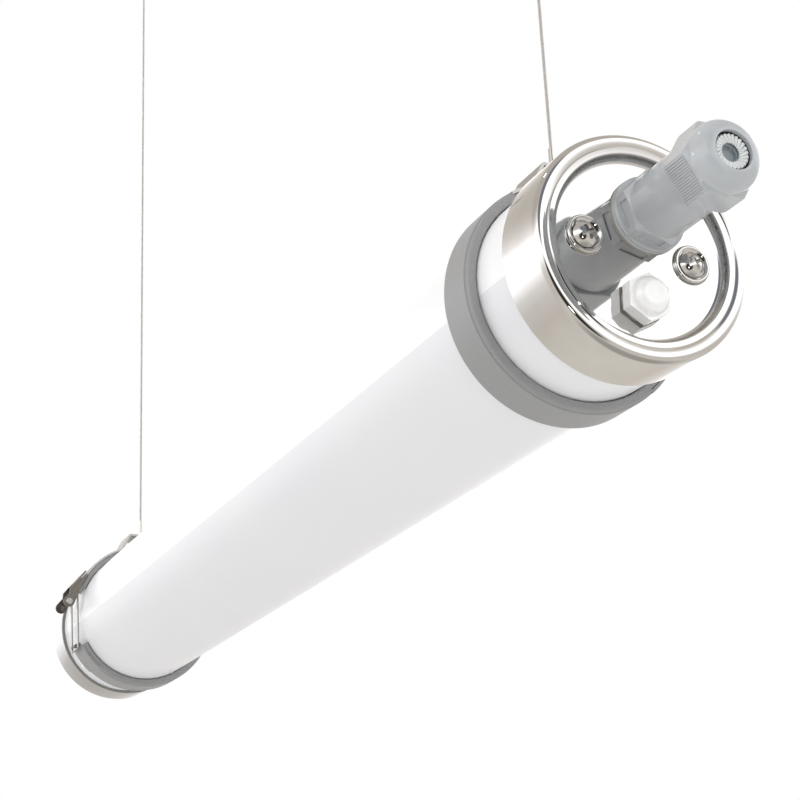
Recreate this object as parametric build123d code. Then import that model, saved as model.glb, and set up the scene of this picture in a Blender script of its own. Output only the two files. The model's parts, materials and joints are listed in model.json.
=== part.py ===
from build123d import *
import math
import os

os.makedirs("parts", exist_ok=True)

# Millimetres. X runs along the tube, +X is the end with the gland, Z is up.
# The pieces are drawn about the tube's own axis and lowered from the ceiling when they are written.

# Hanging
ceiling_drop = 495.0
clamp_inset = 55.0
wire_r = 0.75
wire_room = 0.06

# Tube and caps
body_length = 650.0
tube_r = 40.0
tube_wall = 2.0
cap_wall = 1.5
cap_depth = 23.0
cap_room = 0.5
bead_r = 4.0
recess_depth = 4.0
recess_inset = 6.8
recess_slope = 1.4
rim_groove = 0.7
gasket_thick = 1.9
cap_roll = -7.1

# Screws that hold the caps
screw_y = 21.0
screw_r = 2.4
screw_length = 20.0
screw_head_r = 4.9
screw_head_h = 2.5
thread_room = 0.1
cup_r = 6.7
cup_floor = 0.9

# Rail and works inside
rail_half_width = 27.0
rail_thick = 2.0
rail_top = -4.2
port_r = 4.5
board_width = 22.0
board_thick = 1.6
board_inset = 25.0
led_count = 36
led_size = (3.5, 2.8, 0.8)
driver_size = (160.0, 30.0, 22.0)
driver_x = -20.0
terminal_size = (30.0, 20.0, 16.0)
terminal_inset = 55.0
lead_r = 1.1

# Gland
gland_y = 5.0
gland_z = 13.6
gland_shank_r = 9.9
gland_bore_r = 7.0
gland_washer_r = 13.2
gland_washer_thick = 1.0
gland_flange_r = 14.0
gland_flange_thick = 1.3
gland_hex_af = 24.4
gland_hex_long = 6.4
gland_hex_turn = 45.0
gland_barrel_r = 12.0
gland_barrel_long = 23.5
gland_thread_r = 10.4
gland_thread_long = 7.5
nut_af = 25.4
nut_turn = 30.0
nut_long = 12.0
nut_dome_r = 12.8
nut_dome_long = 6.8
nut_mouth_r = 7.0
nut_room = 0.3
rib_count = 18
rib_depth = 0.4
finger_count = 18
finger_r = 6.6
seal_r = 4.9
seal_bore_r = 3.2

# Vent plug
vent_y = -0.9
vent_z = -19.2
vent_af = 15.4
vent_hex_long = 4.6
vent_dome_r = 6.9
vent_dome_long = 3.6
vent_shank_r = 5.9
vent_ring_thick = 1.0
vent_turn = 27.0

# Clamp
band_width = 19.4
band_room = 0.3
band_thick = 4.2
strap_width = 19.0
strap_thick = 1.2
hat_half = 9.7
hat_rise = 7.5
hat_foot_half = 14.95
hat_foot_rise = 2.0
hat_lap = 2.6
strap_tail = 58.0
latch_end = 157.0
catch_end = 207.4
rivet_r = 1.6
rivet_room = 0.05
rivet_half_gap = 6.0

# Toggle latch
pivot_angle = 172.8
pivot_rise = 3.9
pivot_r = 1.5
pivot_room = 0.05
pivot_head_r = 2.3
pivot_head_h = 0.9
ear_r = 3.4
ear_root_angle = 147.0
sheet = 1.0
side_gap = 0.25
cheek_r = 3.0
cheek_room = 0.2
strap_end_room = 0.6
lever_foot = (166.0, 6.6)
lever_tip = (145.0, 1.7)
plate_start = 0.44
cheek_start = 0.2
cheek_end = 0.84
bail_r = 0.65
eye_angle = 160.0
eye_rise = 0.5
bar_angle = 208.4
bar_rise = 2.2
tab_gap = 1.1
tab_rise = 2.5
tab_width = 9.6
catch_long = 17.0

half = body_length / 2
face_x = half - recess_depth
inner_face_x = face_x - cap_wall
cap_r = tube_r + cap_room + cap_wall
recess_r = tube_r - recess_inset
board_length = body_length - 2 * board_inset
terminal_x = half - terminal_inset
clamp_x = half - clamp_inset
band_r = tube_r + band_room
strap_out = band_r + band_thick
strap_r = strap_out - strap_thick
hat_top = strap_out + hat_rise
hat_foot_z = tube_r + hat_foot_rise
pivot_radius = strap_out + pivot_rise
ear_in = strap_width / 2
ear_out = ear_in + sheet
cheek_out = ear_in - side_gap
cheek_in = cheek_out - sheet
leg_x = cheek_in - side_gap - bail_r


def corner(sketch, x, y):
    return sketch.vertices().sort_by_distance((x, y, 0))[0]


def turned(points, rounds=()):
    profile = Polygon(*points, align=None)
    for x, y, radius in rounds:
        profile = fillet(corner(profile, x, y), radius)
    return revolve(profile, axis=Axis.X)


def rod(radius, x0, x1):
    sketch = Plane.YZ * Circle(radius)
    return Pos(X=x0) * extrude(sketch, amount=x1 - x0)


def ring(r_out, r_in, x0, x1):
    sketch = Plane.YZ * (Circle(r_out) - Circle(r_in))
    return Pos(X=x0) * extrude(sketch, amount=x1 - x0)


def hex_rod(across_flats, x0, x1, turn=0.0):
    outline = Rot(Z=turn) * RegularPolygon(across_flats / 2, 6, major_radius=False)
    return Pos(X=x0) * extrude(Plane.YZ * outline, amount=x1 - x0)


def block(x0, x1, y0, y1, z0, z1):
    middle = Pos((x0 + x1) / 2, (y0 + y1) / 2, (z0 + z1) / 2)
    return middle * Box(x1 - x0, y1 - y0, z1 - z0)


def spot(radius, angle):
    return (radius * math.cos(math.radians(angle)), radius * math.sin(math.radians(angle)))


def wedge(a0, a1):
    steps = max(2, math.ceil(abs(a1 - a0) / 30))
    reach = [spot(3 * tube_r, a0 + (a1 - a0) * i / steps) for i in range(steps + 1)]
    return Polygon((0, 0), *reach, align=None)


def sector(r_in, r_out, a0, a1):
    return (Circle(r_out) - Circle(r_in)) & wedge(a0, a1)


def slab(sketch, x0, x1):
    return Pos(X=x0) * extrude(Plane.YZ * sketch, amount=x1 - x0, dir=(1, 0, 0))


def both_sides(sketch, x_in, x_out):
    return slab(sketch, x_in, x_out), slab(sketch, -x_out, -x_in)


# End caps, tube and gaskets
def end_cap():
    front_in = half - cap_wall
    bore = cap_r - cap_wall
    edge = half - cap_depth
    recess_in = recess_r + cap_wall * 0.7
    lip_r = recess_r + recess_slope
    points = [
        (edge, bore),
        (edge, cap_r),
        (half, cap_r),
        (half, lip_r + 3 * rim_groove),
        (half - rim_groove, lip_r + 2 * rim_groove),
        (half, lip_r + rim_groove),
        (half, lip_r),
        (face_x, recess_r),
        (face_x, 0),
        (inner_face_x, 0),
        (inner_face_x, recess_in),
        (front_in, recess_in + recess_slope),
        (front_in, bore),
    ]
    rounds = [
        (half, cap_r, bead_r),
        (front_in, bore, cap_wall),
        (half, lip_r, 0.6),
        (face_x, recess_r, 1.0),
    ]
    shell = turned(points, rounds)
    for side in (-1, 1):
        hole = Pos(Y=side * screw_y) * rod(screw_r + 0.2, inner_face_x - 1, face_x + 1)
        shell -= Rot(X=cap_roll) * hole
    return shell


def cap_gasket():
    front = half - cap_wall
    back = front - gasket_thick
    r_in = recess_r + cap_wall * 0.7 + recess_slope + 0.3
    points = [(back, r_in), (back, tube_r), (front, tube_r), (front, r_in)]
    return turned(points, [(front, tube_r, cap_wall)])


def cap_screw():
    head_x = face_x + cup_floor
    head = rod(screw_head_r, head_x, head_x + screw_head_h)
    head = fillet(head.edges().sort_by(Axis.X)[-1], screw_head_h - 0.4)
    top = head_x + screw_head_h
    for turn in (25, 115):
        slot = block(top - 1.8, top + 1, -2.6, 2.6, -0.75, 0.75)
        head -= Rot(X=turn) * slot
    return head + rod(screw_r, head_x - screw_length, head_x)


def cup_washer():
    points = [
        (face_x, screw_r + 0.3),
        (face_x, cup_r),
        (face_x + 0.6, cup_r),
        (face_x + 2.0, cup_r - 0.6),
        (face_x + 2.0, cup_r - 1.0),
        (face_x + cup_floor, screw_head_r + 0.3),
        (face_x + cup_floor, screw_r + 0.3),
    ]
    return turned(points)


def screw_pair(piece):
    return [Rot(X=cap_roll) * Pos(Y=side * screw_y) * piece for side in (-1, 1)]


def at_far_end(piece):
    return mirror(piece, about=Plane.YZ)


plain_cap = end_cap()
gland_place = Pos(0, gland_y, gland_z)
vent_place = Pos(0, vent_y, vent_z)
gland_hole = gland_place * rod(gland_shank_r + 0.3, inner_face_x - 1, face_x + 1)
vent_hole = vent_place * rod(vent_shank_r + 0.3, inner_face_x - 1, face_x + 1)
tube_end = half - cap_wall - gasket_thick

parts = {}
parts["diffuser_tube"] = ring(tube_r, tube_r - tube_wall, -tube_end, tube_end)
parts["near_end_cap"] = plain_cap - gland_hole - vent_hole
parts["far_end_cap"] = at_far_end(plain_cap)
parts["near_cap_gasket"] = cap_gasket()
parts["far_cap_gasket"] = at_far_end(cap_gasket())
for name, piece in (("cap_screws", cap_screw()), ("cup_washers", cup_washer())):
    pair = screw_pair(piece)
    parts[f"near_{name}"] = Compound(children=pair)
    parts[f"far_{name}"] = Compound(children=[at_far_end(solid) for solid in pair])


# Rail with the works, turned with the caps so that its ports meet their screws
def carrier_rail():
    bottom = rail_top - rail_thick
    plate = Rectangle(2 * rail_half_width, rail_thick)
    outline = Pos(0, rail_top - rail_thick / 2) * plate
    for side in (-1, 1):
        outline += Pos(side * screw_y, 0) * Circle(port_r)
        outline -= Pos(side * screw_y, 0) * Circle(screw_r + thread_room)
    bar = slab(outline, -inner_face_x, inner_face_x)
    for y in (-4, 4):
        bar -= Pos(driver_x, y, bottom + rail_thick / 2) * Cylinder(lead_r + 0.3, 3 * rail_thick)
    return bar


def led_chips():
    long, wide, tall = led_size
    pitch = board_length / led_count
    top = rail_top - rail_thick - board_thick
    chip = block(-long / 2, long / 2, -wide / 2, wide / 2, top - tall, top)
    return [Pos(X=(i - (led_count - 1) / 2) * pitch) * chip for i in range(led_count)]


def boxed(size, x, base, round_r):
    long, wide, tall = size
    body = block(x - long / 2, x + long / 2, -wide / 2, wide / 2, base, base + tall)
    return fillet(body.edges().filter_by(Axis.X), round_r)


roll = Rot(X=cap_roll)
board_top = rail_top - rail_thick
driver_end = driver_x + driver_size[0] / 2
terminal_start = terminal_x - terminal_size[0] / 2
supply_lead = rod(lead_r, driver_end, terminal_start)
board_lead = Pos(driver_x, 0, rail_top - rail_thick / 2) * Cylinder(lead_r, rail_thick)
board = block(
    -board_length / 2, board_length / 2, -board_width / 2, board_width / 2, board_top - board_thick, board_top
)
parts["carrier_rail"] = roll * carrier_rail()
parts["led_board"] = roll * board
parts["led_chips"] = Compound(children=[roll * chip for chip in led_chips()])
parts["led_driver"] = roll * boxed(driver_size, driver_x, rail_top, 3)
parts["terminal_block"] = roll * boxed(terminal_size, terminal_x, rail_top, 1.5)
parts["supply_leads"] = Compound(children=[roll * Pos(0, y, 3) * supply_lead for y in (-4, 0, 4)])
parts["board_leads"] = Compound(children=[roll * Pos(0, y, 0) * board_lead for y in (-4, 4)])


# Cable gland
washer_x = face_x + gland_washer_thick
flange_x = washer_x + gland_flange_thick
hex_x = flange_x + gland_hex_long
barrel_x = hex_x + gland_barrel_long
thread_x = barrel_x + gland_thread_long
nut_x = barrel_x + 0.5
dome_x = nut_x + nut_long
mouth_x = dome_x + nut_dome_long
shank_end = inner_face_x - 10
lock_thick = 5.0


def gland_body():
    flange = rod(gland_flange_r, washer_x, flange_x)
    flange = fillet(flange.edges().sort_by(Axis.X)[-1], 0.5)
    hexagon = hex_rod(gland_hex_af, flange_x, hex_x, gland_hex_turn)
    crown = turned(
        [
            (flange_x, 0),
            (flange_x, gland_flange_r),
            (hex_x - 1.4, gland_flange_r),
            (hex_x, gland_barrel_r),
            (hex_x, 0),
        ]
    )
    body = flange + (hexagon & crown)
    panel = block(flange_x + 1.2, hex_x - 1.4, -4.6, 4.6, gland_hex_af / 2 - 0.5, gland_hex_af)
    for i in range(6):
        body -= Rot(X=gland_hex_turn + 60 * i) * panel
    body += rod(gland_barrel_r, hex_x, barrel_x)
    body += rod(gland_thread_r, barrel_x, thread_x)
    body += rod(gland_shank_r, shank_end, washer_x)
    return body - rod(gland_bore_r, shank_end - 1, thread_x + 1)


def gland_nut():
    hexagon = hex_rod(nut_af, nut_x, dome_x, nut_turn)
    corner_r = nut_af / math.sqrt(3)
    crown = turned(
        [
            (nut_x, 0),
            (nut_x, corner_r - 0.5),
            (nut_x + 0.8, corner_r),
            (dome_x - 1.2, corner_r),
            (dome_x, nut_dome_r),
            (dome_x, 0),
        ]
    )
    dome = rod(nut_dome_r, dome_x, mouth_x)
    dome = fillet(dome.edges().sort_by(Axis.X)[-1], nut_dome_long - 1.0)
    nut = (hexagon & crown) + dome
    bore = turned(
        [
            (nut_x - 1, 0),
            (nut_x - 1, gland_thread_r + nut_room),
            (thread_x + nut_room, gland_thread_r + nut_room),
            (dome_x + 1.0, gland_thread_r - 1.0),
            (mouth_x - 1.5, nut_mouth_r),
            (mouth_x + 1, nut_mouth_r),
            (mouth_x + 1, 0),
        ]
    )
    nut -= bore
    facet = nut_af / math.sqrt(3)
    pitch = facet * 0.92 / rib_count
    top = nut_af / 2
    for i in range(rib_count):
        y = (i - (rib_count - 1) / 2) * pitch
        groove = block(nut_x - 1, dome_x - 0.9, y - pitch / 4, y + pitch / 4, top - rib_depth, top + 1)
        for turn in (0, 120, 240):
            nut -= Rot(X=90 + nut_turn + turn) * groove
    return nut


def gland_fingers():
    root_x = barrel_x + 1.0
    tip_x = mouth_x - 1.2
    sleeve = ring(finger_r, seal_r + 0.05, root_x, tip_x)
    for i in range(finger_count):
        slot = block(tip_x - 9, tip_x + 1, -0.3, 0.3, 0, finger_r + 1)
        sleeve -= Rot(X=360 * i / finger_count) * slot
    return sleeve


parts["gland_washer"] = gland_place * ring(gland_washer_r, gland_shank_r + 0.05, face_x, washer_x)
parts["gland_body"] = gland_place * gland_body()
gland_lock = hex_rod(gland_hex_af, inner_face_x - lock_thick, inner_face_x, gland_hex_turn)
gland_lock -= rod(gland_shank_r + 0.05, inner_face_x - lock_thick - 1, inner_face_x + 1)
parts["gland_lock_nut"] = gland_place * gland_lock
parts["gland_clamp_nut"] = gland_place * gland_nut()
parts["gland_fingers"] = gland_place * gland_fingers()
parts["gland_seal"] = gland_place * ring(seal_r, seal_bore_r, barrel_x - 4, mouth_x - 3.4)


# Vent plug
def vent_plug():
    base_x = face_x + vent_ring_thick
    top_x = base_x + vent_hex_long
    hexagon = hex_rod(vent_af, base_x, top_x, vent_turn)
    dome = rod(vent_dome_r, top_x, top_x + vent_dome_long)
    dome = fillet(dome.edges().sort_by(Axis.X)[-1], vent_dome_long - 0.4)
    shank = rod(vent_shank_r, inner_face_x - 8, base_x)
    return hexagon + dome + shank


vent_lock = hex_rod(vent_af + 1, inner_face_x - 4, inner_face_x, vent_turn)
vent_lock -= rod(vent_shank_r + 0.05, inner_face_x - 5, inner_face_x + 1)
parts["vent_plug"] = vent_place * vent_plug()
parts["vent_ring"] = vent_place * ring(vent_af / 2 - 0.4, vent_shank_r + 0.05, face_x, face_x + vent_ring_thick)
parts["vent_lock_nut"] = vent_place * vent_lock


# Hanging clamp, drawn at X = 0 with its latch on the -Y side
pivot = spot(pivot_radius, pivot_angle)
bail_eye = spot(strap_out + eye_rise, eye_angle)
bar = spot(strap_out + bar_rise, bar_angle)
tab_low = bar_angle - math.degrees((bail_r + tab_gap) / (strap_out + bar_rise))
tab_high = tab_low - math.degrees(strap_thick / strap_out)
catch_tail = catch_end + math.degrees(catch_long / strap_out)
foot_angle = math.degrees(math.atan2(hat_foot_z, hat_foot_half)) + hat_lap
rivet_angles = (strap_tail + 6, 180 - strap_tail, catch_end + 15)


def drilled(piece):
    for rivet in band_rivets(rivet_r + rivet_room, 1):
        piece -= rivet
    return piece


def band_rivets(radius, over):
    long = strap_out - band_r + 2 * over
    pin = Pos(Z=(strap_out + band_r) / 2) * Cylinder(radius, long)
    places = [(angle, side * rivet_half_gap) for angle in rivet_angles for side in (-1, 1)]
    return [Pos(X=x) * Rot(X=angle - 90) * pin for angle, x in places]


def clamp_band():
    outline = Circle(strap_out) - Circle(band_r) - wedge(latch_end, catch_end)
    for a0, a1 in ((strap_tail, latch_end + 1), (catch_end - 1, catch_tail)):
        outline -= sector(strap_r, strap_out + 1, a0, a1)
    return drilled(slab(outline, -band_width / 2, band_width / 2))


def ear_outline():
    root = spot((strap_r + strap_out) / 2, (ear_root_angle + latch_end) / 2)
    dy, dz = pivot[0] - root[0], pivot[1] - root[1]
    reach = math.hypot(dy, dz)
    side = (-dz / reach * ear_r, dy / reach * ear_r)
    arm = Polygon(
        spot(strap_r, ear_root_angle),
        spot(strap_out, ear_root_angle),
        (pivot[0] - side[0], pivot[1] - side[1]),
        (pivot[0] + side[0], pivot[1] + side[1]),
        spot(strap_r, latch_end),
        align=None,
    )
    ear = arm + Pos(*pivot) * Circle(ear_r) - Circle(strap_r)
    return ear - Pos(*pivot) * Circle(pivot_r + rivet_room)


def hanger_strap():
    latch_side = sector(strap_r, strap_out, 180 - foot_angle, latch_end)
    tail = sector(strap_r, strap_out, strap_tail, foot_angle)
    inner_half = hat_half - strap_thick * 0.6
    inner_foot = hat_foot_half - strap_thick * 1.2
    hat = Polygon(
        (-hat_foot_half, hat_foot_z),
        (-inner_foot, hat_foot_z),
        (-inner_half, hat_top - strap_thick),
        (inner_half, hat_top - strap_thick),
        (inner_foot, hat_foot_z),
        (hat_foot_half, hat_foot_z),
        (hat_half, hat_top),
        (-hat_half, hat_top),
        align=None,
    )
    for side in (-1, 1):
        hat = fillet(corner(hat, side * hat_half, hat_top), strap_thick)
    hat -= Circle(strap_r)
    strap = slab(latch_side + tail + hat, -ear_in, ear_in)
    strap -= Pos(Z=hat_top) * Cylinder(wire_r + 0.2, 4 * strap_thick)
    return drilled(strap)


def catch_plate():
    plate = slab(sector(strap_r, strap_out, catch_end, catch_tail), -ear_in, ear_in)
    tongue = slab(sector(strap_r, strap_out, tab_low, catch_end + 1), -tab_width / 2, tab_width / 2)
    return drilled(plate + tongue)


def catch_hook():
    return slab(sector(strap_r, strap_out + tab_rise, tab_high, tab_low), -tab_width / 2, tab_width / 2)


def latch_lever():
    foot = spot(strap_out + lever_foot[1], lever_foot[0])
    tip = spot(strap_out + lever_tip[1], lever_tip[0])
    dy, dz = tip[0] - foot[0], tip[1] - foot[1]
    long = math.hypot(dy, dz)
    inward = (dz / long * sheet, -dy / long * sheet)

    def along(share, deep=0):
        return (foot[0] + dy * share + inward[0] * deep, foot[1] + dz * share + inward[1] * deep)

    plate = Polygon(along(plate_start), along(1), along(1, 1), along(plate_start, 1), align=None)
    cheek = Polygon(along(cheek_start), along(cheek_end), bail_eye, pivot, align=None)
    cheek += Pos(*pivot) * Circle(cheek_r)
    cheek += Pos(*bail_eye) * Circle(bail_r + sheet)
    cheek -= Circle(strap_out + cheek_room) & wedge(90, latch_end + strap_end_room)
    cheek -= Pos(*pivot) * Circle(pivot_r + pivot_room)
    cheek -= Pos(*bail_eye) * Circle(bail_r + pivot_room)
    lever = slab(plate, -cheek_out, cheek_out)
    for side in both_sides(cheek, cheek_in, cheek_out):
        lever += side
    return lever


def latch_bail():
    dy, dz = bar[0] - bail_eye[0], bar[1] - bail_eye[1]
    reach = math.hypot(dy, dz)
    with BuildLine(Plane.XY) as route:
        FilletPolyline(
            (cheek_out, 0),
            (leg_x, 0),
            (leg_x, -reach),
            (-leg_x, -reach),
            (-leg_x, 0),
            (-cheek_out, 0),
            radius=1.25 * bail_r,
        )
    wire = sweep(Plane(route.line @ 0, z_dir=(-1, 0, 0)) * Circle(bail_r), path=route.line)
    turn = math.degrees(math.atan2(dz, dy)) + 90
    upright = Rot(X=90) * wire
    return Pos(0, bail_eye[0], bail_eye[1]) * Rot(X=turn) * upright


def pivot_rivet():
    stub = rod(pivot_r, cheek_in, ear_out)
    head = rod(pivot_head_r, ear_out, ear_out + pivot_head_h)
    head = fillet(head.edges().sort_by(Axis.X)[-1], 0.6)
    return Pos(0, *pivot) * (stub + head)


rivet_half = pivot_rivet()
clamp = {
    "clamp_band": [clamp_band()],
    "hanger_strap": [hanger_strap()],
    "latch_ears": both_sides(ear_outline(), ear_in, ear_out),
    "latch_catch": [catch_plate()],
    "latch_hook": [catch_hook()],
    "latch_lever": [latch_lever()],
    "latch_bail": [latch_bail()],
    "latch_rivets": [rivet_half, mirror(rivet_half, about=Plane.YZ)],
    "band_rivets": band_rivets(rivet_r, 0),
}

# Wire rope from the bracket to the ceiling, with its fittings
stop_r = 2.2
stop_long = 4.0
ferrule_r = 1.1
ferrule_long = 11.5
cup_out_r = 12.5
cup_wall = 2.0
cup_height = 31.5
cup_nose_r = 4.0
cup_straight = 14.0
base_thick = 5.0
base_hole_r = 2.25
base_head_r = 4.6
rope_low = hat_top - strap_thick - stop_long
cup_low = ceiling_drop - cup_height
stop_seat = cup_low + 5.0


def turned_up(points):
    return revolve(Plane.XZ * Polygon(*points, align=None), axis=Axis.Z)


def ceiling_cup():
    rim = ceiling_drop - 0.5
    hole = wire_r + wire_room
    return turned_up(
        [
            (hole, cup_low),
            (cup_nose_r, cup_low),
            (cup_out_r, rim - cup_straight),
            (cup_out_r, rim),
            (cup_out_r - cup_wall, rim),
            (cup_out_r - cup_wall, rim - cup_straight + 1),
            (cup_nose_r - 1.0, stop_seat),
            (hole, stop_seat),
        ]
    )


def ceiling_base():
    low = ceiling_drop - base_thick
    return turned_up(
        [
            (base_head_r, low),
            (cup_out_r - cup_wall - 0.05, low),
            (cup_out_r - cup_wall - 0.05, ceiling_drop),
            (base_hole_r, ceiling_drop),
            (base_hole_r, low + base_head_r - base_hole_r),
        ]
    )


def upright_tube(r_out, r_in, z0, z1):
    return turned_up([(r_in, z0), (r_out, z0), (r_out, z1), (r_in, z1)])


hanging = {
    "wire_rope": Pos(Z=(rope_low + stop_seat + stop_long) / 2)
    * Cylinder(wire_r, stop_seat + stop_long - rope_low),
    "wire_stop": upright_tube(stop_r, wire_r + wire_room, rope_low, rope_low + stop_long),
    "wire_ferrule": upright_tube(ferrule_r, wire_r + wire_room, hat_top, hat_top + ferrule_long),
    "ceiling_stop": upright_tube(stop_r, wire_r + wire_room, stop_seat, stop_seat + stop_long),
    "ceiling_cup": ceiling_cup(),
    "ceiling_base": ceiling_base(),
}

for name, place in (("near", Pos(X=clamp_x) * Rot(Z=180)), ("far", Pos(X=-clamp_x))):
    for piece, solids in clamp.items():
        moved = [place * solid for solid in solids]
        parts[f"{name}_{piece}"] = moved[0] if len(moved) == 1 else Compound(children=moved)
    for piece, solid in hanging.items():
        parts[f"{name}_{piece}"] = place * solid

lowered = Pos(Z=-ceiling_drop)
for name, shape in parts.items():
    export_step(lowered * shape, f"parts/{name}.step")
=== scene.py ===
import bpy
import bmesh
import json
import math
from mathutils import Matrix, Vector


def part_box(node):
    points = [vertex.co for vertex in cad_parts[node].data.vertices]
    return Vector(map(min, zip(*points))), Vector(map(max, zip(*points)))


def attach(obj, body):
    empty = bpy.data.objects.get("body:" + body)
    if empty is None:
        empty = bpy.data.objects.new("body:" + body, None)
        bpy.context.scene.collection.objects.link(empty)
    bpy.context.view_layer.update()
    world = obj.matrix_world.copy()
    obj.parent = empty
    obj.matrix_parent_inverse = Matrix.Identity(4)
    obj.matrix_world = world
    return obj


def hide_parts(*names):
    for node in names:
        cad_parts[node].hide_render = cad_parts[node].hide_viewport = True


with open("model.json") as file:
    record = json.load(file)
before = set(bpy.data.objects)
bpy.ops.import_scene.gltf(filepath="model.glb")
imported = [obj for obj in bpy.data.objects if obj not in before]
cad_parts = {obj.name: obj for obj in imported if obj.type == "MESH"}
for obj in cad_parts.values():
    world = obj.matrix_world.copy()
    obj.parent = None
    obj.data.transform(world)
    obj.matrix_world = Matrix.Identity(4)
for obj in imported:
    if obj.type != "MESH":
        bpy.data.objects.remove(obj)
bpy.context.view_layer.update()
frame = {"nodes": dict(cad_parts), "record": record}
nodes = frame["nodes"]
scene = bpy.context.scene

mm = 0.001
ends = (("near", 1), ("far", -1))  # and the sign of X there
tubeLow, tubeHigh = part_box("diffuser_tube")
axisHeight = (tubeLow.z + tubeHigh.z) / 2  # the tube's axis below the ceiling plane
bandLow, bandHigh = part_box("near_clamp_band")
clampX = (bandLow.x + bandHigh.x) / 2


def linear(hexColour):
    values = [int(hexColour[i:i + 2], 16) / 255 for i in (1, 3, 5)]
    return tuple(v / 12.92 if v <= 0.04045 else ((v + 0.055) / 1.055) ** 2.4 for v in values) + (1.0,)


# A setting that starts with "in:" goes to the socket of that name or number, and a link i0 to socket 0
def addNode(tree, kind, settings=None, **links):
    node = tree.nodes.new(kind)
    for key, value in (settings or {}).items():
        if key.startswith("in:"):
            node.inputs[int(key[3:]) if key[3:].isdigit() else key[3:]].default_value = value
        else:
            setattr(node, key, value)
    for name, source in links.items():
        target = node.inputs[int(name[1:])] if name[1:].isdigit() else node.inputs[name.replace("_", " ")]
        tree.links.new(source, target)
    return node


def newMaterial(name, sockets):
    material = bpy.data.materials.new(name)
    material.use_nodes = True
    shader = material.node_tree.nodes["Principled BSDF"]
    for socket, value in sockets.items():
        shader.inputs[socket].default_value = value
    return material, material.node_tree, shader


# The tube's upper shell starts at this height, across a plane turned with the end caps
tube = {"lens": "#E6E6E9", "lensCloud": "#E8E8EA", "shell": "#F8F8F9", "roll": -7.1, "seam": -10.4,
        "seamWidth": 0.15}

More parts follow.
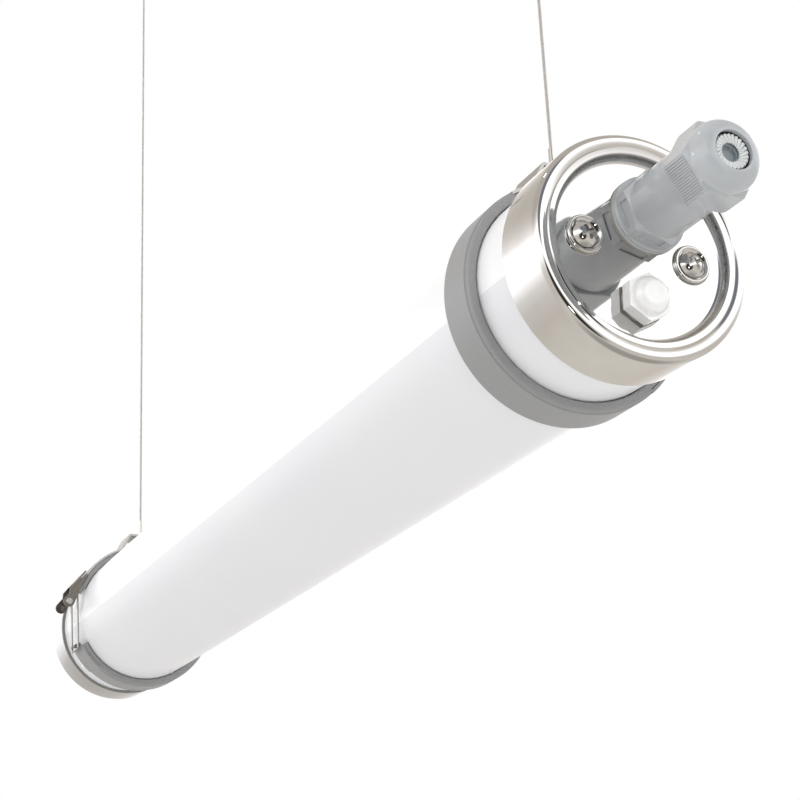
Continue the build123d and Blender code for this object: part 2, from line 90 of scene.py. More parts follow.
# Grain sizes are in millimetres. Most of these grains are finer than 0.2 mm in life, too fine to show, so
# they are drawn as coarse as they need to be to show
finishes = {
    # opal acrylic, extruded: a white shell and a milky lens meet in one sharp line under a satin skin
    "opal": dict(name="opalAcrylic", shader={"IOR": 1.49, "Specular IOR Level": 0.3}, size=45,
                 dark=tube["lens"], light=tube["lensCloud"], rough=(0.28, 0.30), bump=0.0, detail=2.0),
    # stainless steel, drawn and mirror polished: a faint haze of buffing in the reflections
    "polished": dict(name="polishedStainless", shader={"Metallic": 1.0}, size=9, dark="#C6C5C3",
                     light="#CAC9C7", rough=(0.03, 0.06), bump=0.006, detail=3.0),
    # stainless sheet, rolled: fine lines along the lamp and a duller gloss
    "steel": dict(name="rolledStainless", shader={"Metallic": 1.0}, size=1.2, dark="#ABA9A6",
                  light="#B4B2AF", rough=(0.34, 0.44), bump=0.03, detail=4.0, stretch=(0.12, 1, 1)),
    # stainless sheet, pressed and left as rolled: dark with a soft sheen
    "dark": dict(name="pressedStainless", shader={"Metallic": 1.0}, size=2.0, dark="#6A655F",
                 light="#78726B", rough=(0.28, 0.38), bump=0.02, detail=3.0),
    # stainless wire, drawn: a bright even gloss
    "bright": dict(name="drawnStainless", shader={"Metallic": 1.0}, size=2.0, dark="#9D9B98",
                   light="#A8A6A3", rough=(0.18, 0.26), bump=0.02, detail=3.0),
    # glass filled nylon, moulded: mid grey and matt with a fine spark grain
    "band": dict(name="mouldedNylonBand", shader={"IOR": 1.53}, size=0.8, dark="#929293", light="#999999",
                 rough=(0.42, 0.54), bump=0.08, detail=5.0),
    # grey nylon, moulded in a polished tool: a clear gloss with slight flow clouding
    "nylon": dict(name="mouldedNylonGland",
                  shader={"IOR": 1.53, "Specular IOR Level": 0.4, "Coat Weight": 0.1,
                          "Coat Roughness": 0.1},
                  size=14, dark="#B3B6B9", light="#BCBFC2", rough=(0.1, 0.14), bump=0.015, detail=3.0),
    # nylon of the clamping fingers, moulded: pale and half matt
    "finger": dict(name="paleNylon", shader={"IOR": 1.53}, size=2.5, dark="#DCE0E0", light="#E8EBEA",
                   rough=(0.25, 0.38), bump=0.04, detail=3.0),
    # nitrile rubber, moulded: a dull blue grey
    "seal": dict(name="nitrileSeal", shader={"IOR": 1.52}, size=1.6, dark="#98A2A6", light="#A2ACB0",
                 rough=(0.5, 0.7), bump=0.05, detail=4.0),
    # silicone rubber, moulded: a dull grey line at the edge of the caps, partly the seal's own grey and
    # partly painted shade for the shadow gap there
    "gasket": dict(name="siliconeGasketShadeLine", shader={"IOR": 1.43}, size=2.0, dark="#84857F", light="#8E8F89",
                   rough=(0.45, 0.6), bump=0.05, detail=3.0),
    # rubber of the washer and the ring, moulded: grey and dull, drawn paler than the rubber itself as
    # painted light that lifts the shade under the gland's flange
    "ring": dict(name="greyRubberPaintedLight", shader={"IOR": 1.52}, size=1.2, dark="#C4C5C3", light="#CFD0CE",
                 rough=(0.45, 0.6), bump=0.05, detail=4.0),
    # white nylon of the vent, moulded: bright, with a clear gloss over a half matt body
    "plug": dict(name="whiteNylon",
                 shader={"IOR": 1.53, "Coat Weight": 1.0, "Coat IOR": 1.7, "Coat Roughness": 0.12},
                 size=6, dark="#FAFAF9", light="#FCFCFB", rough=(0.24, 0.34), bump=0.02, detail=3.0),
    # aluminium, extruded: long die lines and a soft sheen
    "rail": dict(name="extrudedAluminium", shader={"Metallic": 1.0}, size=1.5, dark="#B9BABC",
                 light="#CBCCCD", rough=(0.3, 0.45), bump=0.05, detail=4.0, stretch=(0.05, 1, 1)),
    # solder resist, printed: an even white with a half gloss
    "board": dict(name="solderResistWhite", shader={"IOR": 1.5}, size=3, dark="#EDEDE8", light="#F4F4F0",
                  rough=(0.3, 0.42), bump=0.03, detail=3.0),
    # silicone gel with phosphor, cast: yellow and glossy
    "chip": dict(name="phosphorGel", shader={"IOR": 1.41}, size=0.6, dark="#E3C04A", light="#F0D468",
                 rough=(0.2, 0.3), bump=0.03, detail=3.0),
    # polycarbonate case, moulded: off white with a matt spark grain
    "driver": dict(name="driverPolycarbonate", shader={"IOR": 1.58}, size=1.0, dark="#DCDCDA",
                   light="#E6E6E4", rough=(0.4, 0.55), bump=0.08, detail=4.0),
    # polyamide block, moulded: warm white and half matt
    "block": dict(name="terminalPolyamide", shader={"IOR": 1.53}, size=1.4, dark="#E2E1DB", light="#ECEBE6",
                  rough=(0.35, 0.5), bump=0.06, detail=4.0),
    # soft vinyl on the leads, extruded: brown with a waxy gloss
    "lead": dict(name="pvcInsulation", shader={"IOR": 1.53}, size=4, dark="#4A3323", light="#5B4030",
                 rough=(0.3, 0.42), bump=0.03, detail=3.0),
    # galvanised wire, drawn and laid: pale with a dull gloss
    "rope": dict(name="ropeWire", shader={"Metallic": 1.0}, size=1.6, dark="#C2C0BD", light="#D2D0CD",
                 rough=(0.3, 0.45), bump=0.04, detail=4.0),
    # nickel, plated on turned brass: a warm bright gloss
    "fitting": dict(name="nickelPlate", shader={"Metallic": 1.0}, size=3, dark="#AFACA7", light="#BAB7B2",
                    rough=(0.12, 0.22), bump=0.02, detail=3.0)}
noiseSpan = (0.3, 0.7)  # the part of the noise's range that colour and roughness follow
bumpShare = 0.2  # bump depth as a share of the grain's size


def grain(tree, shader, finish):
    size = finish["size"] * mm
    low, high = noiseSpan
    place = addNode(tree, "ShaderNodeTexCoord")
    mapping = addNode(tree, "ShaderNodeMapping", {"in:Scale": finish.get("stretch", (1, 1, 1))},
                      Vector=place.outputs["Object"])
    noise = addNode(tree, "ShaderNodeTexNoise", {"in:Scale": 1 / size, "in:Detail": finish["detail"]},
                    Vector=mapping.outputs["Vector"])
    colour = addNode(tree, "ShaderNodeValToRGB", {}, Fac=noise.outputs["Fac"])
    shades = (finish["dark"], finish["light"])
    for stop, position, shade in zip(colour.color_ramp.elements, noiseSpan, shades):
        stop.position = position
        stop.color = linear(shade)
    tree.links.new(colour.outputs["Color"], shader.inputs["Base Color"])
    smooth, dull = finish["rough"]
    rough = addNode(tree, "ShaderNodeMapRange", {"in:From Min": low, "in:From Max": high,
                                                 "in:To Min": smooth, "in:To Max": dull},
                    Value=noise.outputs["Fac"])
    tree.links.new(rough.outputs["Result"], shader.inputs["Roughness"])
    if finish["bump"]:
        depth = size * bumpShare
        lift = addNode(tree, "ShaderNodeBump", {"in:Strength": finish["bump"], "in:Distance": depth},
                       Height=noise.outputs["Fac"])
        tree.links.new(lift.outputs["Normal"], shader.inputs["Normal"])


def twoTone(tree, shader):
    lens = shader.inputs["Base Color"].links[0].from_socket
    roll = math.radians(tube["roll"])
    place = addNode(tree, "ShaderNodeTexCoord")
    upward = (0, -math.sin(roll), math.cos(roll))
    height = addNode(tree, "ShaderNodeVectorMath", {"operation": "DOT_PRODUCT", "in:1": upward},
                     i0=place.outputs["Object"])
    seam = axisHeight * math.cos(roll) + tube["seam"] * mm
    seamTop = seam + tube["seamWidth"] * mm
    above = addNode(tree, "ShaderNodeMapRange", {"in:From Min": seam, "in:From Max": seamTop},
                    Value=height.outputs["Value"])
    mixed = addNode(tree, "ShaderNodeMix", {"data_type": "RGBA", "in:7": linear(tube["shell"])},
                    i0=above.outputs["Result"], i6=lens)
    tree.links.new(mixed.outputs[2], shader.inputs["Base Color"])


def makeMaterials():
    made = {}
    for slot, finish in finishes.items():
        material, tree, shader = newMaterial(finish["name"], finish["shader"])
        grain(tree, shader, finish)
        if slot == "opal":
            twoTone(tree, shader)
        made[slot] = material
    return made


materials = makeMaterials()
slotOf = {entry["node"]: entry["material_slot"] for entry in frame["record"]["subparts"]}
for name, node in nodes.items():
    node.data.materials.clear()
    node.data.materials.append(materials[slotOf[name]])
print("materials on", len(nodes), "nodes")


def newPiece(mesh, name):
    bmesh.ops.recalc_face_normals(mesh, faces=mesh.faces)
    data = bpy.data.meshes.new(name)
    mesh.to_mesh(data)
    mesh.free()
    piece = bpy.data.objects.new(name, data)
    scene.collection.objects.link(piece)
    return piece


sharpFrom = 28.0  # edges that bend by more degrees than this stay crisp


def dressPiece(piece, slot, node, body="lamp", crisp=True):
    piece.data.materials.clear()
    piece.data.materials.append(materials[slot])
    piece.data.shade_smooth()
    if crisp:
        piece.data.set_sharp_from_angle(angle=math.radians(sharpFrom))
    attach(piece, body)
    if node:
        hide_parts(node)


# Wire ropes: six strands laid round a core. Sizes in metres, low and high above the tube's axis
rope = {"diameter": 0.0015, "strands": 6, "layLength": 0.009, "low": 0.052, "high": 0.4725, "sides": 6,
        "perTurn": 12, "routeSteps": 4, "routeDetail": 40}


def routePoints(start, end):
    curve = bpy.data.curves.new("ropeRoute", "CURVE")
    curve.dimensions = "3D"
    curve.resolution_u = rope["routeDetail"]
    spline = curve.splines.new("NURBS")
    spline.points.add(rope["routeSteps"])
    for i, point in enumerate(spline.points):
        point.co = (*start.lerp(end, i / rope["routeSteps"]), 1.0)
    spline.order_u = 3
    spline.use_endpoint_u = True
    holder = bpy.data.objects.new("ropeRoute", curve)
    scene.collection.objects.link(holder)
    mesh = bpy.data.meshes.new_from_object(holder.evaluated_get(bpy.context.evaluated_depsgraph_get()))
    points = [v.co.copy() for v in mesh.vertices]
    bpy.data.objects.remove(holder)
    return points


def alongRoute(points, share):
    total = sum((b - a).length for a, b in zip(points, points[1:]))
    left = share * total
    for a, b in zip(points, points[1:]):
        step = (b - a).length
        if left <= step:
            return a.lerp(b, left / step)
        left -= step
    return points[-1].copy()


def strandTube(mesh, centres, radius, sides):
    rings = []
    for i, centre in enumerate(centres):
        ahead = centres[min(i + 1, len(centres) - 1)] - centres[max(i - 1, 0)]
        side = ahead.cross(Vector((1, 0, 0))).normalized()
        other = ahead.cross(side).normalized()
        ring = []
        for k in range(sides):
            angle = 2 * math.pi * k / sides
            offset = radius * (math.cos(angle) * side + math.sin(angle) * other)
            ring.append(mesh.verts.new(centre + offset))
        rings.append(ring)
    for low, high in zip(rings, rings[1:]):
        for k in range(sides):
            mesh.faces.new((low[k], low[(k + 1) % sides], high[(k + 1) % sides], high[k]))
    mesh.faces.new(reversed(rings[0]))
    mesh.faces.new(rings[-1])


def makeRope(end, x):
    start = Vector((x, 0, axisHeight + rope["low"]))
    stop = Vector((x, 0, axisHeight + rope["high"]))
    points = routePoints(start, stop)
    length = sum((b - a).length for a, b in zip(points, points[1:]))
    strandRadius = rope["diameter"] / 6  # two strands and the core span the rope
    mesh = bmesh.new()
    count = int(length / rope["layLength"] * rope["perTurn"])
    for strand in range(rope["strands"]):
        centres = []
        for i in range(count + 1):
            angle = 2 * math.pi * (strand / rope["strands"] + i / rope["perTurn"])
            offset = Vector((math.cos(angle), math.sin(angle), 0)) * (rope["diameter"] / 2 - strandRadius)
            centres.append(alongRoute(points, i / count) + offset)
        strandTube(mesh, centres, strandRadius, rope["sides"])
    strandTube(mesh, [start, (start + stop) / 2, stop], strandRadius, rope["sides"])
    piece = newPiece(mesh, end + "RopeStrands")
    dressPiece(piece, "rope", end + "_wire_rope", crisp=False)


for end, sign in ends:
    makeRope(end, sign * clampX)
print("wire ropes laid")


# Turned pieces: a closed outline of (x, radius) spun about an axis along X. From here to the studio, sizes
# are in millimetres and turns in degrees
def arc(x, radius, bend, fromTurn, toTurn, steps=8):
    turns = [math.radians(fromTurn + (toTurn - fromTurn) * i / steps) for i in range(steps + 1)]
    return [(x + bend * math.cos(t), radius + bend * math.sin(t)) for t in turns]


def lathe(mesh, outline, centre, fromTurn=0.0, toTurn=360.0, stepDegrees=1.0, limit=None):
    closed = toTurn - fromTurn >= 360.0
    count = max(2, round((toTurn - fromTurn) / stepDegrees))
    rays = count if closed else count + 1
    turns = [math.radians(fromTurn + (toTurn - fromTurn) * i / count) for i in range(rays)]
    loops = []
    for x, radius in outline:
        if radius == 0:
            loops.append([mesh.verts.new((x * mm, centre[0], centre[1]))] * rays)
            continue
        reach = [min(radius, limit(t)) * mm if limit else radius * mm for t in turns]
        loops.append([mesh.verts.new((x * mm, centre[0] + r * math.cos(t), centre[1] + r * math.sin(t)))
                      for t, r in zip(turns, reach)])
    for a, b in zip(loops, loops[1:] + loops[:1]):
        for k in range(count):
            corners = [a[k], a[(k + 1) % rays], b[(k + 1) % rays], b[k]]
            corners = [c for i, c in enumerate(corners) if c not in corners[:i]]
            if len(corners) > 2:
                mesh.faces.new(corners)
    if not closed:
        mesh.faces.new([loop[0] for loop in loops])
        mesh.faces.new([loop[-1] for loop in loops])


# End caps: a drawn sleeve with a thin edge over a seal lip, a bend, a rim that falls a little to its inner
# lip with a ring pressed in it, and a sunk face with a round corner
cap = {"bead": 2.4, "rimFall": 0.6, "ringAt": 36.9, "ringWide": 0.4, "ringDeep": 0.25, "lip": 0.8,
       "lipAt": 34.9, "draft": 10.0, "recess": 4.0, "corner": 2.2, "cornerSteps": 6, "wall": 1.4,
       "edgeWall": 0.45, "flare": 3.0, "sealIn": 40.05, "sealBack": 0.2, "sealGap": 0.1, "sealTaper": 0.2}


def capOutline(edge, front, radius):
    face = front - cap["recess"]
    inner = radius - cap["wall"]
    lipFront = front - cap["rimFall"]
    ring = (front + lipFront) / 2
    turn = 90 - cap["draft"]
    slope = math.radians(turn)
    bends = cap["lip"] + cap["corner"]
    straight = lipFront - face - bends * (1 - math.cos(slope))
    flatEnd = cap["lipAt"] - bends * math.sin(slope) - straight / math.tan(slope)
    return ([(edge + cap["flare"], inner), (edge, radius - cap["edgeWall"]), (edge, radius)]
            + arc(front - cap["bead"], radius - cap["bead"], cap["bead"], 90, 0)
            + [(ring, cap["ringAt"] + cap["ringWide"]), (ring - cap["ringDeep"], cap["ringAt"]),
               (ring, cap["ringAt"] - cap["ringWide"])]
            + arc(lipFront - cap["lip"], cap["lipAt"], cap["lip"], 0, -turn)
            + arc(face + cap["corner"], flatEnd, cap["corner"], 180 - turn, 180, cap["cornerSteps"])
            + [(face, 0), (face - cap["wall"], 0), (face - cap["wall"], flatEnd + cap["wall"]),
               (lipFront - cap["wall"], cap["lipAt"] + cap["wall"]), (front - cap["wall"], inner)])


def makeCap(end, sign):
    low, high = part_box(end + "_end_cap")
    edge, front = sorted((abs(low.x) / mm, abs(high.x) / mm))
    radius = (high.y - low.y) / 2 / mm
    # The seal lip is a dark ring of gasket grey at the sleeve's edge: partly the seal, partly painted shade
    # standing in for the shadow gap between sleeve and tube
    lipX = edge + cap["sealBack"]
    shadeLipOutline = [(lipX, cap["sealIn"]), (lipX, radius - cap["edgeWall"] - cap["sealGap"]),
                  (edge + cap["flare"], cap["sealIn"] + cap["sealTaper"])]
    sleeve = capOutline(edge, front, radius)
    for outline, name, slot, node in ((sleeve, "DrawnCap", "polished", end + "_end_cap"),
                                      (shadeLipOutline, "SealLipShadeLine", "gasket", None)):
        turned = bmesh.new()
        lathe(turned, [(sign * x, r) for x, r in outline], (0, axisHeight))
        dressPiece(newPiece(turned, end + name), slot, node)


for end, sign in ends:
    makeCap(end, sign)
print("end caps drawn")


# Clamp bands: round edges, a step inside each edge, and seats for the strap and the catch
band = {"half": 9.7, "inner": 40.3, "outer": 44.5, "seat": 43.3, "lip": 1.7, "step": 0.5, "slope": 0.3,
        "round": 1.1, "roundSteps": 5, "under": 0.5, "strapFrom": 58.0, "strapTo": 157.0,
        "catchFrom": 207.4, "catchTo": 229.3}


def bandOutline(top):
    half, bend = band["half"], band["round"]
    lipTop = min(top, band["outer"] - band["step"])
    side = [(half - band["under"], band["inner"]), (half, band["inner"] + band["under"])]
    side += arc(half - bend, lipTop - bend, bend, 0, 90, band["roundSteps"])
    if top > lipTop:
        side += [(half - band["lip"], lipTop), (half - band["lip"] - band["slope"], top)]
    return side + [(-x, radius) for x, radius in reversed(side)]


def makeBand(end, sign):
    ringMesh = bmesh.new()
    for fromTurn, toTurn, top in ((band["strapFrom"], band["strapTo"], band["seat"]),
                                  (band["catchFrom"], band["catchTo"], band["seat"]),
                                  (band["catchTo"], band["strapFrom"] + 360, band["outer"])):
        if end == "near":  # its latch is on the other side
            fromTurn, toTurn = 180 - toTurn, 180 - fromTurn
        outline = [(sign * clampX / mm + x, radius) for x, radius in bandOutline(top)]
        lathe(ringMesh, outline, (0, axisHeight), fromTurn, toTurn)
    dressPiece(newPiece(ringMesh, end + "MouldedBand"), "band", end + "_clamp_band")


for end, sign in ends:
    makeBand(end, sign)
print("clamp bands moulded")


# Pieces that repeat: the object's own mesh in a row, and that row in sets turned about an axis along X
def repeatTree():
    tree = bpy.data.node_groups.new("repeatRow", "GeometryNodeTree")
    sockets = tree.interface
    sockets.new_socket("Geometry", in_out="OUTPUT", socket_type="NodeSocketGeometry")
    sockets.new_socket("Geometry", in_out="INPUT", socket_type="NodeSocketGeometry")
    ids = {}
    for label, kind in (("Count", "Int"), ("Step", "Vector"), ("Sets", "Int"), ("Set Turn", "Float"),
                        ("Axis Point", "Vector"), ("Material", "Material")):
        ids[label] = sockets.new_socket(label, in_out="INPUT", socket_type="NodeSocket" + kind).identifier
    given = addNode(tree, "NodeGroupInput").outputs
    line = addNode(tree, "GeometryNodeMeshLine", {}, Count=given["Count"], Offset=given["Step"])
    row = addNode(tree, "GeometryNodeInstanceOnPoints", {}, Points=line.outputs[0],
                  Instance=given["Geometry"])
    back = addNode(tree, "ShaderNodeVectorMath", {"operation": "SCALE", "in:Scale": -1.0},
                   i0=given["Axis Point"])
    centred = addNode(tree, "GeometryNodeTransform", {}, Geometry=row.outputs[0],
                      Translation=back.outputs[0])
    hub = addNode(tree, "GeometryNodeMeshLine", {"in:Offset": (0, 0, 0)}, Count=given["Sets"],
                  Start_Location=given["Axis Point"])
    turn = addNode(tree, "ShaderNodeMath", {"operation": "MULTIPLY"},
                   i0=addNode(tree, "GeometryNodeInputIndex").outputs[0], i1=given["Set Turn"])
    angles = addNode(tree, "ShaderNodeCombineXYZ", {}, X=turn.outputs[0])
    turned = addNode(tree, "FunctionNodeEulerToRotation", {}, Euler=angles.outputs[0])
    sets = addNode(tree, "GeometryNodeInstanceOnPoints", {}, Points=hub.outputs[0],
                   Instance=centred.outputs[0], Rotation=turned.outputs[0])
    real = addNode(tree, "GeometryNodeRealizeInstances", {}, Geometry=sets.outputs[0])
    painted = addNode(tree, "GeometryNodeSetMaterial", {}, Geometry=real.outputs[0],
                      Material=given["Material"])
    addNode(tree, "NodeGroupOutput", {}, Geometry=painted.outputs[0])
    return tree, ids


rowTree, rowIds = repeatTree()


def bake(piece):
    piece.data = bpy.data.meshes.new_from_object(piece.evaluated_get(bpy.context.evaluated_depsgraph_get()))
    piece.modifiers.clear()


def repeat(mesh, name, slot, count, step, sets=1, axisPoint=(0, 0, 0)):
    piece = newPiece(mesh, name)
    growth = piece.modifiers.new("repeatRow", "NODES")
    growth.node_group = rowTree
    values = {"Count": count, "Step": step, "Sets": sets, "Set Turn": 2 * math.pi / sets,
              "Axis Point": axisPoint, "Material": materials[slot]}
    for label, value in values.items():
        growth[rowIds[label]] = value
    bake(piece)
    return piece


# Gland fingers: slanted slats round the mouth, on the sleeve that carries them
fingers = {"count": 24, "sides": 10, "middle": 4.75, "long": 3.2, "innerRadius": 0.4, "outerRadius": 0.72,
           "twist": 28.0, "lean": 12.0, "sleeveOut": 6.6, "sleeveIn": 5.0, "sleeveBehind": 1.0,
           "behindMouth": 2.0}
nutLow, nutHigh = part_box("gland_clamp_nut")
glandAxis = ((nutLow.y + nutHigh.y) / 2, (nutLow.z + nutHigh.z) / 2)


def makeFingers():
    front = nutHigh.x - fingers["behindMouth"] * mm
    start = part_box("gland_fingers")[0].x / mm
    tip = front / mm - fingers["sleeveBehind"]
    place = Matrix.Translation((front, glandAxis[0], glandAxis[1] + fingers["middle"] * mm))
    twist = Matrix.Rotation(math.radians(fingers["twist"]), 4, "X")
    lean = Matrix.Rotation(math.radians(fingers["lean"]), 4, "Y")
    slat = bmesh.new()
    bmesh.ops.create_cone(slat, cap_ends=True, segments=fingers["sides"],
                          radius1=fingers["innerRadius"] * mm, radius2=fingers["outerRadius"] * mm,
                          depth=fingers["long"] * mm, matrix=place @ twist @ lean)
    piece = repeat(slat, "glandFingerRing", "finger", 1, (0, 0, 0), fingers["count"], (front, *glandAxis))
    whole = bmesh.new()
    whole.from_mesh(piece.data)
    lathe(whole, [(start, fingers["sleeveIn"]), (start, fingers["sleeveOut"]), (tip, fingers["sleeveOut"]),
                  (tip, fingers["sleeveIn"])], glandAxis, stepDegrees=6.0)
    bmesh.ops.recalc_face_normals(whole, faces=whole.faces)
    whole.to_mesh(piece.data)
    whole.free()
    dressPiece(piece, "finger", "gland_fingers")


# Gland seal: a rubber sleeve closed by a thin web until a cable is pushed through
seal = {"outer": 4.9, "bore": 3.2, "chamfer": 0.3, "webBehind": 1.3, "web": 0.6}


def makeSeal():
    low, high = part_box("gland_seal")
    start, front = low.x / mm, high.x / mm
    web = front - seal["webBehind"]
    webBack = web - seal["web"]
    sleeve = bmesh.new()
    lathe(sleeve, [(start, seal["bore"]), (start, seal["outer"]), (front, seal["outer"]),
                   (front, seal["bore"] + seal["chamfer"]), (front - seal["chamfer"], seal["bore"]),
                   (web, seal["bore"]), (web, 0), (webBack, 0), (webBack, seal["bore"])],
          glandAxis, stepDegrees=5.0)
    dressPiece(newPiece(sleeve, "glandSeal"), "seal", "gland_seal")


# Gland nut: a hexagon under a dome, with fine grip ribs on three sides, the first at the turn "side". The
# cone inside it is measured from where the dome starts
nut = {"acrossFlats": 25.4, "side": 210.0, "hexLong": 12.0, "foot": 0.8, "footFall": 0.5, "shoulder": 1.2,
       "slopeSteps": 8, "domeRadius": 12.8, "domeBend": 5.8, "domeSteps": 16, "domeSunk": 0.5, "mouth": 7.0,
       "mouthLong": 1.5, "bore": 10.7, "coneFrom": -4.0, "coneTo": 1.0, "coneFall": 1.3}
ribs = {"sets": 3, "count": 16, "sides": 10, "share": 0.95, "radius": 0.27, "proud": 0.36, "from": 0.6,
        "to": 10.9}


def hexLimit(turn):
    off = (turn - math.radians(nut["side"]) + math.pi / 6) % (math.pi / 3) - math.pi / 6
    return nut["acrossFlats"] / 2 / math.cos(off)


def makeNut():
    start, end = nutLow.x / mm, nutHigh.x / mm
    corner = nut["acrossFlats"] / math.sqrt(3)
    domeStart = start + nut["hexLong"]
    shares = [i / nut["slopeSteps"] for i in range(nut["slopeSteps"] + 1)]
    foot = [(start + nut["foot"] * s, corner - nut["footFall"] * (1 - s)) for s in shares]
    fall = nut["domeRadius"] - corner
    shoulder = [(domeStart + nut["shoulder"] * (s - 1), corner + fall * s) for s in shares]
    hexagon = bmesh.new()
    lathe(hexagon, [(start, nut["bore"])] + foot + shoulder + [(domeStart, nut["acrossFlats"] / 2)],
          glandAxis, limit=hexLimit)
    dressPiece(newPiece(hexagon, "glandNutHexagon"), "nylon", None, "gland_clamp_nut")
    bend = nut["domeBend"]
    crown = arc(end - bend, nut["domeRadius"] - bend, bend, 90, 0, nut["domeSteps"])
    inside = [(end, nut["mouth"]), (end - nut["mouthLong"], nut["mouth"]),
              (domeStart + nut["coneTo"], nut["bore"] - nut["coneFall"]),
              (domeStart + nut["coneFrom"], nut["bore"]), (start, nut["bore"])]
    dome = bmesh.new()
    lathe(dome, [(domeStart - nut["domeSunk"], nut["domeRadius"])] + crown + inside, glandAxis)
    dressPiece(newPiece(dome, "glandNutDome"), "nylon", "gland_clamp_nut", "gland_clamp_nut")


def makeRibs():
    out = Vector((0, math.cos(math.radians(nut["side"])), math.sin(math.radians(nut["side"]))))
    along = Vector((0, -out.z, out.y))
    pitch = nut["acrossFlats"] / math.sqrt(3) * ribs["share"] / ribs["count"] * mm
    depth = nut["acrossFlats"] / 2 + ribs["proud"] - ribs["radius"]
    first = Vector((nutLow.x + (ribs["from"] + ribs["to"]) / 2 * mm, *glandAxis)) + out * depth * mm
    first -= along * pitch * (ribs["count"] - 1) / 2
    bar = bmesh.new()
    bmesh.ops.create_cone(bar, cap_ends=True, segments=ribs["sides"], radius1=ribs["radius"] * mm,
                          radius2=ribs["radius"] * mm, depth=(ribs["to"] - ribs["from"]) * mm,
                          matrix=Matrix.Translation(first) @ Matrix.Rotation(math.pi / 2, 4, "Y"))
    piece = repeat(bar, "glandNutRibs", "nylon", ribs["count"], tuple(along * pitch), ribs["sets"],
                   (nutLow.x, *glandAxis))
    dressPiece(piece, "nylon", None, "gland_clamp_nut")


# Gland washer: rubber squeezed out flush with the flange
washer = {"radius": 14.1, "bore": 9.9}


def makeWasher():
    low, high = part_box("gland_washer")
    flat = bmesh.new()
    lathe(flat, [(low.x / mm, washer["bore"]), (low.x / mm, washer["radius"]),
                 (high.x / mm, washer["radius"]), (high.x / mm, washer["bore"])],
          glandAxis, stepDegrees=3.0)
    dressPiece(newPiece(flat, "glandFlatWasher"), "ring", "gland_washer")


# Cap screws: domed heads with a cross recess, two on each cap, at the spot and across the axis from it. The
# dome's last ring is domeTop degrees off its middle
screw = {"headRadius": 4.9, "headHeight": 2.5, "shankRadius": 2.4, "shankLong": 20.0, "crossWide": 1.35,
         "crossLong": 5.4, "crossDeep": 2.0, "crossTurn": 25.0, "spot": (20.84, -2.60), "domeTop": 4.0,
         "domeSteps": 10}
firstScrew = (-screw["spot"][0] * mm, axisHeight - screw["spot"][1] * mm)
screwStep = (0, 2 * screw["spot"][0] * mm, 2 * screw["spot"][1] * mm)


def makeScrews(end, sign):
    low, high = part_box(end + "_cap_screws")
    top = (high.x if sign > 0 else -low.x) / mm
    seat = top - screw["headHeight"]
    tail = seat - screw["shankLong"]
    radius = (screw["headRadius"] ** 2 + screw["headHeight"] ** 2) / (2 * screw["headHeight"])
    spread = math.degrees(math.asin(screw["headRadius"] / radius))
    dome = arc(top - radius, 0, radius, spread, screw["domeTop"], screw["domeSteps"])
    outline = [(tail, 0), (tail, screw["shankRadius"]), (seat, screw["shankRadius"]),
               (seat, screw["headRadius"])] + dome[1:] + [(top, 0)]
    head = bmesh.new()
    lathe(head, [(sign * x, r) for x, r in outline], firstScrew, stepDegrees=6.0)
    blank = newPiece(head, end + "Screw")
    cross = bmesh.new()
    for quarter in (0, 90):
        turn = Matrix.Rotation(math.radians(screw["crossTurn"] + quarter), 4, "X")
        size = Matrix.Diagonal((2 * screw["crossDeep"] * mm, screw["crossLong"] * mm,
                                screw["crossWide"] * mm, 1))
        place = Matrix.Translation((sign * top * mm, *firstScrew))
        bmesh.ops.create_cube(cross, matrix=place @ turn @ size)
    cutter = newPiece(cross, "crossRecess")
    cut = blank.modifiers.new("cross", "BOOLEAN")
    cut.object = cutter
    cut.use_self = True
    bake(blank)
    bpy.data.objects.remove(cutter)
    head = bmesh.new()
    head.from_mesh(blank.data)
    bpy.data.objects.remove(blank)
    piece = repeat(head, end + "CapScrews", "polished", 2, screwStep)
    dressPiece(piece, "polished", end + "_cap_screws")


# Cup washers: a dished ring with a round crest under each screw head
cup = {"foot": 7.3, "edge": 0.3, "crest": 6.3, "round": 0.85, "roundFrom": 80, "roundTo": -55,
       "roundSteps": 10, "crestHigh": 1.35, "seat": 4.4, "seatHigh": 0.5, "bore": 2.7}


def makeCups(end, sign):
    low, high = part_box(end + "_cup_washers")
    base = (low.x if sign > 0 else -high.x) / mm
    outline = [(base, cup["bore"]), (base, cup["foot"]), (base + cup["edge"], cup["foot"])]
    outline += arc(base + cup["crestHigh"] - cup["round"], cup["crest"], cup["round"], cup["roundFrom"],
                   cup["roundTo"], cup["roundSteps"])
    outline += [(base + cup["seatHigh"], cup["seat"]), (base + cup["seatHigh"], cup["bore"])]
    ringMesh = bmesh.new()
    lathe(ringMesh, [(sign * x, r) for x, r in outline], firstScrew, stepDegrees=3.0)
    piece = repeat(ringMesh, end + "CupWashers", "polished", 2, screwStep)
    dressPiece(piece, "polished", end + "_cup_washers")


makeFingers()
makeSeal()
makeNut()
makeRibs()
makeWasher()
for end, sign in ends:
    makeScrews(end, sign)
    makeCups(end, sign)
print("gland and screws detailed")


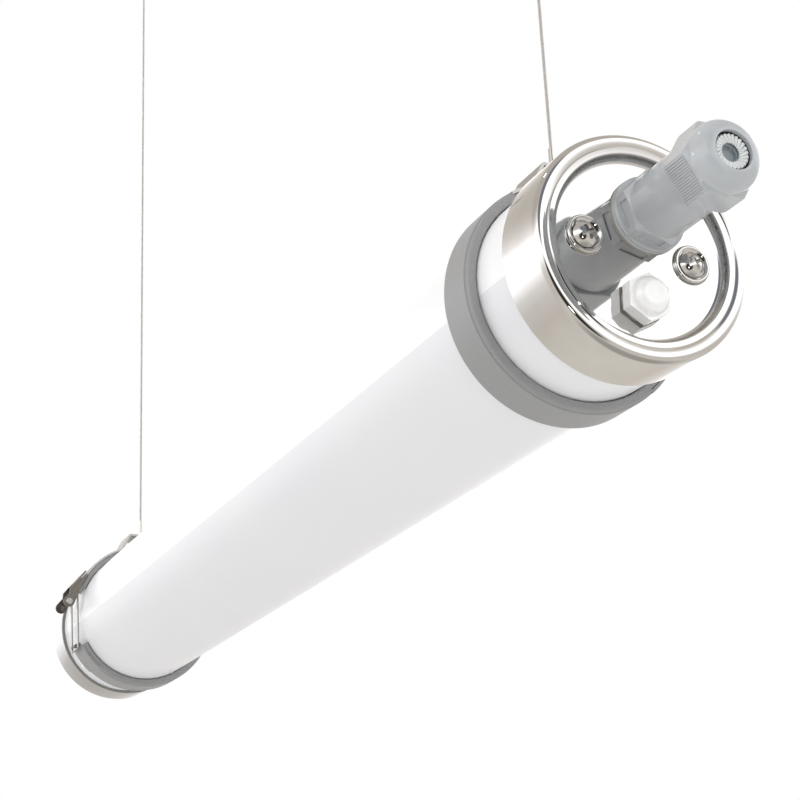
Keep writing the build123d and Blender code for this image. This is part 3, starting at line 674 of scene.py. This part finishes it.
# Studio: an even white room with a dim front. Glossy rays see a room of their own, drawn by height along
# the lean: pale walls between a dimmer floor and ceiling, and two dark sides (aim, start, full, colour).
# Lamps: name, aim from the near clamp, distance and width in metres, watts, and whether glossy rays see it
studio = {"floor": "#FCFCFB", "floorRough": 0.7, "floorDrop": 6.0, "floorHalf": 150.0, "roomLight": 1.13,
          "frontLight": 0.22, "frontSide": (0.98, -0.1, -0.17), "frontFrom": 0.0, "frontTo": 0.9,
          "mirrorLight": 2.0, "farDim": 0.72, "farFrom": -0.96, "farTo": -0.80, "lean": (-0.08, -0.14, 1.0),
          "mirrored": ((-0.90, "#8C8983"), (-0.60, "#B7B4AD"), (-0.30, "#AEA8A2"), (-0.10, "#B6B2AE"),
                       (0.02, "#C4C1BF"), (0.08, "#D9D6D6"), (0.20, "#FFFFFF"), (0.47, "#FFFFFF"),
                       (0.54, "#D8D4D3"), (0.61, "#BEB9B5"), (0.66, "#AFA9A3"), (0.72, "#A29D96"),
                       (0.82, "#A09B95")),
          "darkSides": (((0.95, -0.24, -0.195), 0.88, 0.95, "#2E2C27"),
                        ((0.78, -0.08, 0.62), 0.925, 0.965, "#686A72")),
          "lamps": (("leftBox", (-0.42, -0.85, 0.30), 2.4, 0.6, 1.5, False),
                    ("topBox", (0.3, -0.5, 0.81), 2.0, 0.5, 2.5, False),
                    ("foreBox", (0.88, -0.05, 0.47), 2.2, 0.6, 9.0, False),
                    ("leftSpot", (-0.42, -0.85, 0.30), 2.2, 0.13, 1.3, True),
                    ("topSpot", (-0.07, -0.38, 0.92), 2.0, 0.11, 0.9, True),
                    ("frontSpot", (0.92, -0.27, -0.30), 1.3, 0.09, 0.5, True))}


def makeRoom():
    world = bpy.data.worlds.new("whiteRoom")
    scene.world = world
    world.use_nodes = True
    tree = world.node_tree
    tree.nodes.clear()
    white = linear("#FFFFFF")
    path = addNode(tree, "ShaderNodeLightPath")
    look = addNode(tree, "ShaderNodeTexCoord").outputs["Generated"]
    rise = addNode(tree, "ShaderNodeVectorMath", {"operation": "DOT_PRODUCT", "in:1": studio["lean"]},
                   i0=look)
    share = addNode(tree, "ShaderNodeMath", {"operation": "MULTIPLY_ADD", "in:1": 0.5, "in:2": 0.5},
                    i0=rise.outputs["Value"])  # from -1..1 to the ramp's 0..1
    walls = addNode(tree, "ShaderNodeValToRGB", {}, Fac=share.outputs[0])
    stops = walls.color_ramp.elements
    while len(stops) < len(studio["mirrored"]):
        stops.new(1.0)
    for stop, (height, colour) in zip(stops, studio["mirrored"]):
        stop.position = 0.5 + 0.5 * height
        stop.color = linear(colour)
    along = addNode(tree, "ShaderNodeSeparateXYZ", {}, Vector=look)
    dim = addNode(tree, "ShaderNodeMapRange", {"in:From Min": studio["farFrom"],
                                               "in:From Max": studio["farTo"],
                                               "in:To Min": studio["mirrorLight"] * studio["farDim"],
                                               "in:To Max": studio["mirrorLight"]},
                  Value=along.outputs["X"])
    room = walls.outputs["Color"]
    for aim, outer, inner, colour in studio["darkSides"]:
        side = addNode(tree, "ShaderNodeVectorMath", {"operation": "DOT_PRODUCT", "in:1": aim}, i0=look)
        shade = addNode(tree, "ShaderNodeMapRange", {"interpolation_type": "SMOOTHSTEP",
                                                     "in:From Min": outer, "in:From Max": inner},
                        Value=side.outputs["Value"])
        room = addNode(tree, "ShaderNodeMix", {"data_type": "RGBA", "in:7": linear(colour)},
                       i0=shade.outputs["Result"], i6=room).outputs[2]
    seen = addNode(tree, "ShaderNodeBackground", {"in:Color": white, "in:Strength": 1.0})
    shine = addNode(tree, "ShaderNodeBackground", {}, Color=room, Strength=dim.outputs["Result"])
    fore = addNode(tree, "ShaderNodeVectorMath", {"operation": "DOT_PRODUCT", "in:1": studio["frontSide"]},
                   i0=look)
    soft = addNode(tree, "ShaderNodeMapRange", {"in:From Min": studio["frontFrom"],
                                                "in:From Max": studio["frontTo"],
                                                "in:To Min": studio["roomLight"],
                                                "in:To Max": studio["frontLight"]},
                   Value=fore.outputs["Value"])
    light = addNode(tree, "ShaderNodeBackground", {"in:Color": white}, Strength=soft.outputs["Result"])
    glossy = addNode(tree, "ShaderNodeMath", {"operation": "MAXIMUM"}, i0=path.outputs["Is Glossy Ray"],
                     i1=path.outputs["Is Transmission Ray"])
    mixed = addNode(tree, "ShaderNodeMixShader", {}, i0=glossy.outputs[0], i1=light.outputs[0],
                    i2=shine.outputs[0])
    final = addNode(tree, "ShaderNodeMixShader", {}, i0=path.outputs["Is Camera Ray"], i1=mixed.outputs[0],
                    i2=seen.outputs[0])
    addNode(tree, "ShaderNodeOutputWorld", {}, Surface=final.outputs[0])


def makeFloor():
    data = bpy.data.meshes.new("floor")
    half = studio["floorHalf"]
    drop = -studio["floorDrop"]
    corners = [(-half, -half, drop), (half, -half, drop), (half, half, drop), (-half, half, drop)]
    data.from_pydata(corners, [], [(0, 1, 2, 3)])
    floor = bpy.data.objects.new("floor", data)
    floor.visible_glossy = False  # metal mirrors the room instead
    scene.collection.objects.link(floor)
    sockets = {"Base Color": linear(studio["floor"]), "Roughness": studio["floorRough"]}
    data.materials.append(newMaterial("paleFloor", sockets)[0])


def makeLamps():
    middle = Vector((clampX, 0, axisHeight))
    for name, aim, away, width, power, mirrored in studio["lamps"]:
        lamp = bpy.data.lights.new(name, "AREA")
        lamp.size = width
        lamp.energy = power
        box = bpy.data.objects.new(name, lamp)
        box.visible_glossy = mirrored
        box.location = middle + Vector(aim) * away
        box.rotation_euler = (-Vector(aim)).to_track_quat("-Z", "Y").to_euler()
        scene.collection.objects.link(box)


# The photograph's camera: where it stands, and the picture's right, down and ahead directions
view = {"sensor": 36.0, "lens": 77.312, "reach": 200.0, "at": (0.7672, -0.303593, -0.732006),
        "right": (0.41446, 0.90901, -0.04389), "down": (-0.31903, 0.09995, -0.94246),
        "ahead": (-0.85232, 0.40461, 0.33143)}


def makeCamera():
    data = bpy.data.cameras.new("photoCamera")
    data.sensor_width = view["sensor"]
    data.lens = view["lens"]
    data.clip_end = view["reach"]
    turn = Matrix((Vector(view["right"]), -Vector(view["down"]), -Vector(view["ahead"]))).transposed()
    camera = bpy.data.objects.new("photoCamera", data)
    camera.matrix_world = Matrix.Translation(view["at"]) @ turn.to_4x4()
    scene.collection.objects.link(camera)
    scene.camera = camera


makeRoom()
makeFloor()
makeLamps()
makeCamera()
scene.view_settings.view_transform = "Standard"
print("studio and camera set")
